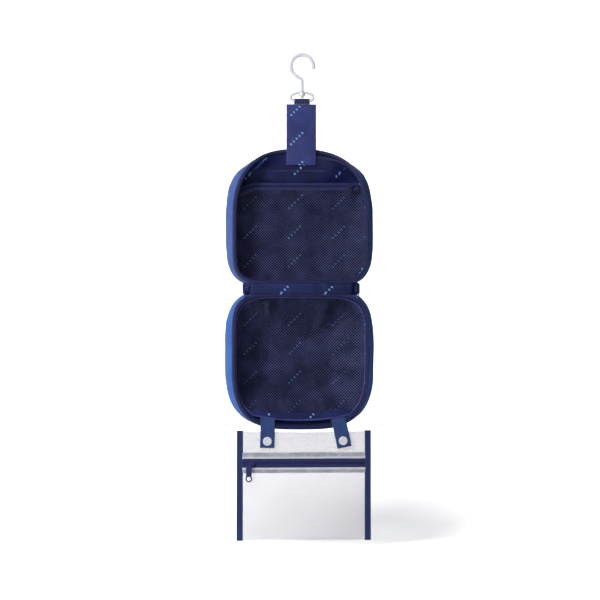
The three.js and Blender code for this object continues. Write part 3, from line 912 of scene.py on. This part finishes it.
def cover_hem():
    """The satin hem along the lower edge of the net cover, narrow at its ends."""
    rings = []
    for k in range(101):
        x = mix(-84 * MM, 84 * MM, k / 100)
        drift = noise.noise(Vector((x * 45, 3, 1))) * 1.1 * MM
        width = 5.5 * MM * mix(0.25, 1.0, smooth(min(k, 100 - k) / 14))
        rings.append([
            Vector((x, COVER_Y - 1.2 * MM + b + drift * share, cover_edge(x) + width * (1 + share)))
            for share, b in ellipse(1.0, 0.9 * MM, 20, 0.7)
        ])
    return lofted("cover_hem", rings, HEM_SATIN)


place(cover_hem(), "lower_pod", slot="lining")


# ---------------------------------------------------------------- hanger

HOOK_CENTRE_Z, HOOK_RADIUS = -13.4 * MM, 17.1 * MM
SHANK_TOP_Z, SHANK_END_Z = -33.5 * MM, -51 * MM


def hanger_point(x, z):
    """A point in the hook's plane, from the line it hangs on."""
    return ORIGIN + Vector((x, 0, z))


def hook_path():
    """Up the shank, out to the crook's tangent and round to the open tip."""
    tangent = math.acos(HOOK_RADIUS / (HOOK_CENTRE_Z - SHANK_TOP_Z))
    start, end = 1.5 * math.pi - tangent, math.radians(-17)
    arc = []
    for k in range(73):
        angle = mix(start, end, k / 72)
        x, z = HOOK_RADIUS * math.cos(angle), HOOK_CENTRE_Z + HOOK_RADIUS * math.sin(angle)
        arc.append(hanger_point(x, z))
    shank = [hanger_point(0, mix(SHANK_END_Z, SHANK_TOP_Z - 3 * MM, k / 8)) for k in range(9)]
    elbow = [hanger_point(-0.1 * MM, SHANK_TOP_Z - 1.6 * MM), hanger_point(-0.7 * MM, SHANK_TOP_Z - 0.4 * MM)]
    lean = [elbow[-1].lerp(arc[0], k / 5) for k in range(1, 5)]
    return shank + elbow + lean + arc


def hook_section(share):
    """Squarish, a little slimmer at the shank, and rounded off at the free tip."""
    end = min(1.0, (1 - share) / 0.03)
    tip = math.sqrt(max(0.02, 1 - (1 - end) ** 2))
    radius = 3 * MM * tip * (1 - 0.13 * smooth(1 - share * 3))
    return ellipse(radius, radius, 28, 0.72)


def hook():
    """The crook and its shank, with a pin and a head turned below."""
    bm = bmesh.new()
    sweep(bm, hook_path(), hook_section, BACK)
    pin = ((0.2, 0.6), (2.2, 0.6), (2.5, 0.1), (2.4, -0.6), (1.5, -0.8), (1.5, -9), (2.9, -9), (3.2, -9.3),
           (3.2, -10.3), (2.9, -10.6), (0.2, -10.6))
    lathe(bm, pin, hanger_point(0, SHANK_END_Z), UP, 40)
    piece = finish_mesh("hanging_hook", bm, PLASTIC)
    bevel(piece, 0.2 * MM, 40)
    return piece


def swivel_ring():
    """A flat oval loop with a bored boss on top for the hook's pin."""
    wire = 2.2 * MM
    centre_z = -61.1 * MM
    reach = span("swivel_ring")[1].x - wire
    bm = bmesh.new()
    path = []
    for x, z in ellipse(reach, 5.1 * MM, 120, 0.62):
        arch = 2.8 * MM * (1 - (x / reach) ** 2) if z > 0 else 0
        path.append(hanger_point(x, centre_z + z + arch))
    sweep(bm, path, ellipse(wire, wire * 1.15, 16, 0.85), BACK, closed=True)
    boss = ((1.9, 0.2), (3.6, 0.2), (4.1, -0.2), (4.7, -6.6), (4.4, -7.0), (1.9, -7.0))
    lathe(bm, boss, hanger_point(0, -51.9 * MM), UP, 40, bored=True)
    return finish_mesh("swivel_oval", bm, PLASTIC)


def slab(name, node, material, waves, rows):
    """A cloth strip filling a CAD box, rounded at its edges and gently uneven."""
    middle, half = span(node)
    rings = []
    for row in range(rows + 1):
        share = row / rows
        z = mix(middle.z - half.z, middle.z + half.z, share)
        width = half.x * (1 - 0.005 * math.sin(share * 23) ** 2)
        ring = []
        for a, b in ellipse(width, half.y, 48, 0.35):
            drift = noise.noise(Vector((a * 30, z * 22, half.x * 90))) * waves
            ring.append(Vector((middle.x + a, middle.y + b + drift, z)))
        rings.append(ring)
    return lofted(name, rings, material)


place(hook(), "hook", "hook")
place(swivel_ring(), "ring", "swivel_ring")
place(slab("ribbon_loop", "webbing_loop", PIPING, 0.15 * MM, 16), "strap", "webbing_loop")
place(slab("satin_strap", "hanger_strap", STRAP_SATIN, 0.35 * MM, 90), "strap", "hanger_strap")


def strap_seam(name, start, end):
    """Stitches on the strap's front between two (x, z) places."""
    y = cad_box("hanger_strap")[0].y - 0.12 * MM
    row = line(Vector((start[0], y, start[1])), Vector((end[0], y, end[1])))
    seam(name, row, 2.2, 1.1, 0.2, THREAD, "strap", "lining")


strap_low, strap_high = cad_box("hanger_strap")
SEAM_LEFT, SEAM_RIGHT = strap_low.x + 2.2 * MM, strap_high.x - 2.2 * MM
for side, x in (("left", SEAM_LEFT), ("right", SEAM_RIGHT)):
    strap_seam(f"strap_edge_stitching_{side}", (x, strap_low.z + 2 * MM), (x, strap_high.z - 2 * MM))
for name, drop in (("upper", 2.2), ("lower", 9.5)):
    z = strap_high.z - drop * MM
    strap_seam(f"strap_{name}_stitching", (SEAM_LEFT, z), (SEAM_RIGHT, z))


# ---------------------------------------------------------------- tabs and snaps

TAB_WIDTH, TAB_THICKNESS = 21.8 * MM, 1.2 * MM
TAB_TOP_Z = -562.5 * MM
TABS = {"left": (-50.5 * MM, 0.03), "right": (60 * MM, -0.2)}


def tab_frame(side):
    """A tab's middle, with its own directions downwards and across."""
    x, lean = TABS[side]
    return x, Vector((-math.sin(lean), 0, -math.cos(lean))), Vector((math.cos(lean), 0, -math.sin(lean)))


def tab_ribbon(side):
    """A ribbon that leaves the lower pod's lining, rolls over its lip and hangs in front of it."""
    x, down, across = tab_frame(side)
    profile = ((-19, 7.0), (-17, 5.6), (-14, 2.6), (-11.5, 0.2), (-8, -1.4), (-4, -2.7), (-1, -3.9),
               (2, -4.9), (6, -5.5), (12, -5.6), (18, -5.6), (22, -5.6), (25.2, -5.55), (25.5, -5.5))
    rings = []
    for reach, y in profile:
        centre = Vector((x, y * MM, TAB_TOP_Z)) + down * reach * MM
        ring = []
        for a, b in ellipse(TAB_WIDTH / 2, TAB_THICKNESS / 2, 36, 0.3):
            ripple = noise.noise(Vector((a * 60, reach * 0.3, x * 50))) * 0.3 * MM * smooth((18 - reach) / 12)
            ring.append(centre + across * a + Vector((0, b + ripple, 0)))
        rings.append(ring)
    return lofted(f"{side}_ribbon_tab", rings, RIBBON)


def tab_stitching(side):
    """The two rows that sew a tab to its pod."""
    x, down, across = tab_frame(side)
    bm = bmesh.new()
    for drop in (3.0, 5.2):
        middle = Vector((x, -6.32 * MM, TAB_TOP_Z)) + down * drop * MM
        row = line(middle - across * 9.6 * MM, middle + across * 9.6 * MM, 30)
        stitches(bm, row, 2 * MM, 1 * MM, 0.2 * MM)
    return finish_mesh(f"{side}_tab_stitching", bm, THREAD)


def snap(name, body, node, profile, steps=56, bored=False):
    """A round plastic snap piece on its CAD node; profile heights run back from its front face."""
    middle, half = span(node)
    bm = bmesh.new()
    lathe(bm, profile, middle - BACK * half.y, BACK, steps, bored)
    place(finish_mesh(name, bm, PLASTIC), body, node)


CAP_PROFILE = ((0.05, 0.5), (3.4, 0.5), (3.8, 0.35), (4.3, 0.05), (4.9, 0), (5.8, 0.12), (6.5, 0.6),
               (6.75, 1.1), (6.6, 1.48), (0.05, 1.5))
SOCKET_PROFILE = ((2.6, 0.1), (2.8, 0), (4.7, 0), (5, 0.3), (5, 1.2), (4.8, 1.4), (2.8, 1.4), (2.6, 1.2))
STUD_PROFILE = ((0.05, 0), (1.7, 0), (2, 0.3), (1.9, 1.3), (2, 1.6), (4.5, 1.6), (4.8, 1.8), (4.8, 2.3),
                (4.6, 2.5), (0.05, 2.5))
BACK_PROFILE = ((0.05, 0), (4.8, 0), (5, 0.2), (5, 0.7), (4.6, 1), (0.05, 1))

for side in ("left", "right"):
    body = f"{side}_tab"
    start, end = UP * (TAB_TOP_Z + 7 * MM), UP * (TAB_TOP_Z - 4 * MM)
    place_between(tab_ribbon(side), "lower_pod", body, start, end, body)
    snap(f"{side}_cap", body, f"{side}_snap_cap", CAP_PROFILE)
    snap(f"{side}_socket", body, f"{side}_snap_socket", SOCKET_PROFILE, 48, bored=True)
    snap(f"{side}_stud", "pouch", f"{side}_snap_stud", STUD_PROFILE)
    snap(f"{side}_stud_cap", "pouch", f"{side}_stud_back", BACK_PROFILE)
    place(tab_stitching(side), body, slot="webbing")


# ---------------------------------------------------------------- clear pouch

POUCH_X, FILM_HALF, STRIP_HALF = 4.3 * MM, 98 * MM, 92.7 * MM
POUCH_TOP, POUCH_BOTTOM = -563, -726
FILM_THICKNESS = 0.35 * MM
FILM_COLUMNS, FILM_ROWS = 90, 50


def film_wave(x, z, seed):
    broad, fine = noise.noise(Vector((x * 16, z * 22, seed))), noise.noise(Vector((x * 40, z * 9, seed)))
    return broad + 0.5 * fine


def film_sheet(name, y, top, bottom, sag, ripple, seed, material):
    """A sheet of film with a top edge that sags, rippled across its depth."""
    rings = []
    for row in range(FILM_ROWS + 1):
        share = row / FILM_ROWS
        front_row = []
        for column in range(FILM_COLUMNS + 1):
            across = column / FILM_COLUMNS * 2 - 1
            x = POUCH_X + across * FILM_HALF
            z = mix(top - sag * (1 - across * across), bottom, share)
            held = smooth((1 - abs(across)) * 6) * smooth(min(share, 1 - share) * 6 + 0.15)
            front_row.append(Vector((x, y + film_wave(x, z, seed) * ripple * held, z)))
        rings.append(front_row + [point + BACK * FILM_THICKNESS for point in reversed(front_row)])
    return lofted(name, rings, material)


def pouch_strip(name, y, top, bottom, thickness, material):
    """A level strip sewn across the pouch's front."""
    rings = []
    for column in range(121):
        x = POUCH_X + mix(-STRIP_HALF, STRIP_HALF, column / 120)
        drift = noise.noise(Vector((x * 30, top * 50, 0))) * 0.12 * MM
        rings.append([
            Vector((x, y + b + drift, (top + bottom) / 2 + a + drift))
            for a, b in ellipse((top - bottom) / 2, thickness / 2, 16, 0.35)
        ])
    return lofted(name, rings, material)


def pouch_line(y, z, steps):
    ends = [Vector((POUCH_X + side * STRIP_HALF, y * MM, z * MM)) for side in (-1, 1)]
    return line(*ends, steps)


for name, y, top, bottom, sag, ripple, seed, material in (
    ("back", -0.9, POUCH_TOP, POUCH_BOTTOM, 1.5, 0.15, 3.0, FILM),
    ("upper", -2, POUCH_TOP - 0.6, -595.6, 2.5, 0.3, 8.0, UPPER_FILM_PAINTED_SHADE),
    ("lower", -2, -624.4, POUCH_BOTTOM, 0, 0.3, 15.0, FILM),
):
    sheet = film_sheet(f"{name}_film", y * MM, top * MM, bottom * MM, sag * MM, ripple * MM, seed, material)
    place(sheet, "pouch", f"pouch_{name}_film")
for name, y, top, bottom, thick, material, *node in (
    ("upper_grey_band", -2.1, -595, -601.6, 0.7, GREY_BAND, "pouch_upper_band"),
    ("upper_white_edge", -2.35, -601.2, -604.3, 0.9, WHITE_BAND),
    ("lower_grey_band", -2.1, -620.4, -625.6, 0.7, GREY_BAND, "pouch_lower_band"),
    ("lower_white_edge", -2.35, -617.6, -620.7, 0.9, WHITE_BAND),
    ("upper_herringbone", -2.0, -604.1, -610.95, 0.7, POUCH_TAPE, "pouch_tape_upper"),
    ("lower_herringbone", -2.0, -611.05, -617.8, 0.7, POUCH_TAPE, "pouch_tape_lower"),
):
    strip = pouch_strip(name, y * MM, top * MM, bottom * MM, thick * MM, material)
    place(strip, "pouch", *node, slot=None if node else "band")
chain = coil_chain("pouch_chain", pouch_line(-2.1, -611, 10), 3.2 * MM, 1.2 * MM)
place(chain, "pouch", "pouch_zip_coil")
for name, z in (("upper", -602.8), ("lower", -619.2)):
    seam(f"pouch_{name}_stitching", pouch_line(-2.85, z, 60), 2.6, 1.2, 0.25, WHITE_THREAD, "pouch", "band")
place(slider_piece("pouch_zip_slider", *cad_box("pouch_slider")), "pouch_slider", "pouch_slider")
place(pull_piece("pouch_zip_tag", *cad_box("pouch_pull")), "pouch_pull", "pouch_pull")


def binding(side):
    """A ribbon folded over the pouch's side edge."""
    middle, half = span(f"pouch_{side}_binding")
    rings = []
    for row in range(91):
        z = mix(middle.z - half.z, middle.z + half.z, row / 90)
        drift = noise.noise(Vector((z * 14, half.x * 99, 4 if side == "left" else 9)))
        rings.append([
            Vector((middle.x + a + drift * 0.35 * MM, middle.y + b + drift * 0.2 * MM, z))
            for a, b in ellipse(half.x, half.y * 0.95, 36, 0.4)
        ])
    return lofted(f"{side}_binding", rings, RIBBON_UPRIGHT)


for side in ("left", "right"):
    place(binding(side), "pouch", f"pouch_{side}_binding")
    low, high = cad_box(f"pouch_{side}_binding")
    x, y = high.x - 1.6 * MM if side == "left" else low.x + 1.6 * MM, low.y - 0.1 * MM
    row = line(Vector((x, y, low.z + 2 * MM)), Vector((x, y, high.z - 2 * MM)))
    seam(f"{side}_binding_stitching", row, 2.4, 1.2, 0.2, THREAD, "pouch", "webbing")


# ---------------------------------------------------------------- room, light and camera


FLOOR_Z, WALL_Y, WALL_BEND = -0.735, 0.56, 0.5
FLOOR_FRONT, WALL_TOP, ROOM_SIDE = -9.0, 4.0, 9.0
SHADOW_PLACE, SHADOW_NEAR, SHADOW_FAR = (0.12, 0.12, -0.71), 0.08, 0.3


def sheet(name, rows, material):
    """An open sheet of quads between two rows of points."""
    bm = bmesh.new()
    left, right = [[bm.verts.new(point) for point in row] for row in rows]
    for k in range(len(left) - 1):
        bm.faces.new((left[k], right[k], right[k + 1], left[k + 1]))
    return finish_mesh(name, bm, material)


def white_sweep():
    """A matt white that the camera sees glowing, except where the bag's shadow falls on the floor.

    The sheet's faces turn away from the bag, so the side towards it is their back. Seen from behind
    it is clear, which leaves the bag in sight and lit from every angle.
    """
    g = Graph("backdrop")
    pale = g.blend(g.noise(3.0, 3.0), (0.9, 0.9, 0.905), (0.93, 0.93, 0.93))
    seen = g.node("ShaderNodeLightPath").outputs["Is Camera Ray"]
    geometry = g.node("ShaderNodeNewGeometry")
    away = g.node("ShaderNodeVectorMath")
    away.operation = "DISTANCE"
    g.put(away.inputs[0], geometry.outputs["Position"])
    g.put(away.inputs[1], SHADOW_PLACE)
    far = g.ramp(away.outputs["Value"], SHADOW_NEAR, SHADOW_FAR)
    glow = g.math("MULTIPLY", seen, g.math("MULTIPLY_ADD", far, 0.5, 0.5))
    return g.set(base_color=pale, roughness=0.9, alpha=geometry.outputs["Backfacing"],
                 emission_color=(1.0, 1.0, 1.0), emission_strength=glow)


def backdrop():
    """A floor that curves up into a wall behind the bag."""
    profile = [Vector((0, FLOOR_FRONT, FLOOR_Z)), Vector((0, WALL_Y - WALL_BEND, FLOOR_Z))]
    for k in range(1, 17):
        angle = k / 16 * math.pi / 2
        y = WALL_Y - WALL_BEND * (1 - math.sin(angle))
        profile.append(Vector((0, y, FLOOR_Z + WALL_BEND * (1 - math.cos(angle)))))
    profile.append(Vector((0, WALL_Y, WALL_TOP)))
    rows = [[point + RIGHT * x for point in profile] for x in (-ROOM_SIDE, ROOM_SIDE)]
    return sheet("backdrop", rows, white_sweep())


def flag():
    """A black card on the right, which the camera doesn't see and which keeps that side of the bag dark."""
    rows = [[Vector((0.46, y, z)) for y in (-0.9, 0.9)] for z in (FLOOR_Z, 0.5)]
    card = sheet("flag", rows, Graph("flag").set(base_color=colour(6, 6, 8), roughness=1.0))
    card.visible_camera = False
    return card


def aim(name, data, location):
    """A light or camera at a place, turned towards the bag's middle."""
    thing = bpy.data.objects.new(name, data)
    thing.location = location
    thing.rotation_euler = (TARGET - thing.location).to_track_quat("-Z", "Y").to_euler()
    bpy.context.scene.collection.objects.link(thing)
    return thing


def area_light(name, location, size, power):
    data = bpy.data.lights.new(name, "AREA")
    data.shape = "SQUARE"
    data.size = size
    data.energy = power
    return aim(name, data, location)


def white_world():
    """A weak white surround, which the camera sees as white."""
    world = bpy.data.worlds.new("world")
    world.use_nodes = True
    tree = world.node_tree
    surround = tree.nodes["Background"]
    surround.inputs["Color"].default_value = (1, 1, 1, 1)
    rays = tree.nodes.new("ShaderNodeLightPath")
    strength = tree.nodes.new("ShaderNodeMapRange")
    strength.inputs["To Min"].default_value = 0.12
    strength.inputs["To Max"].default_value = 1.0
    tree.links.new(rays.outputs["Is Camera Ray"], strength.inputs["Value"])
    tree.links.new(strength.outputs["Result"], surround.inputs["Strength"])
    return world


def camera_at(azimuth, distance, lens):
    """A level camera, at an angle in degrees to the right of straight ahead."""
    data = bpy.data.cameras.new("camera")
    data.lens = lens
    data.sensor_width = 36
    turn = math.radians(azimuth)
    return aim("camera", data, TARGET + Vector((math.sin(turn), -math.cos(turn), 0)) * distance)


TARGET = Vector((-0.0015, 0, -0.3665)) - ORIGIN
lights = [
    area_light("key", (-1.4, -1.4, 0.85), 0.6, 36),
    area_light("fill", (-0.5, -2.7, 0.5), 1.2, 9),
    area_light("rim", (-0.5, 0.5, 1.2), 0.8, 3),
    area_light("back", (-1.1, 2.5, 1.0), 1.0, 12),
]
backdrop()
flag()
scene = bpy.context.scene
scene.world = white_world()
scene.view_settings.view_transform = "Standard"
scene.camera = camera_at(-5, 4.5, 180)
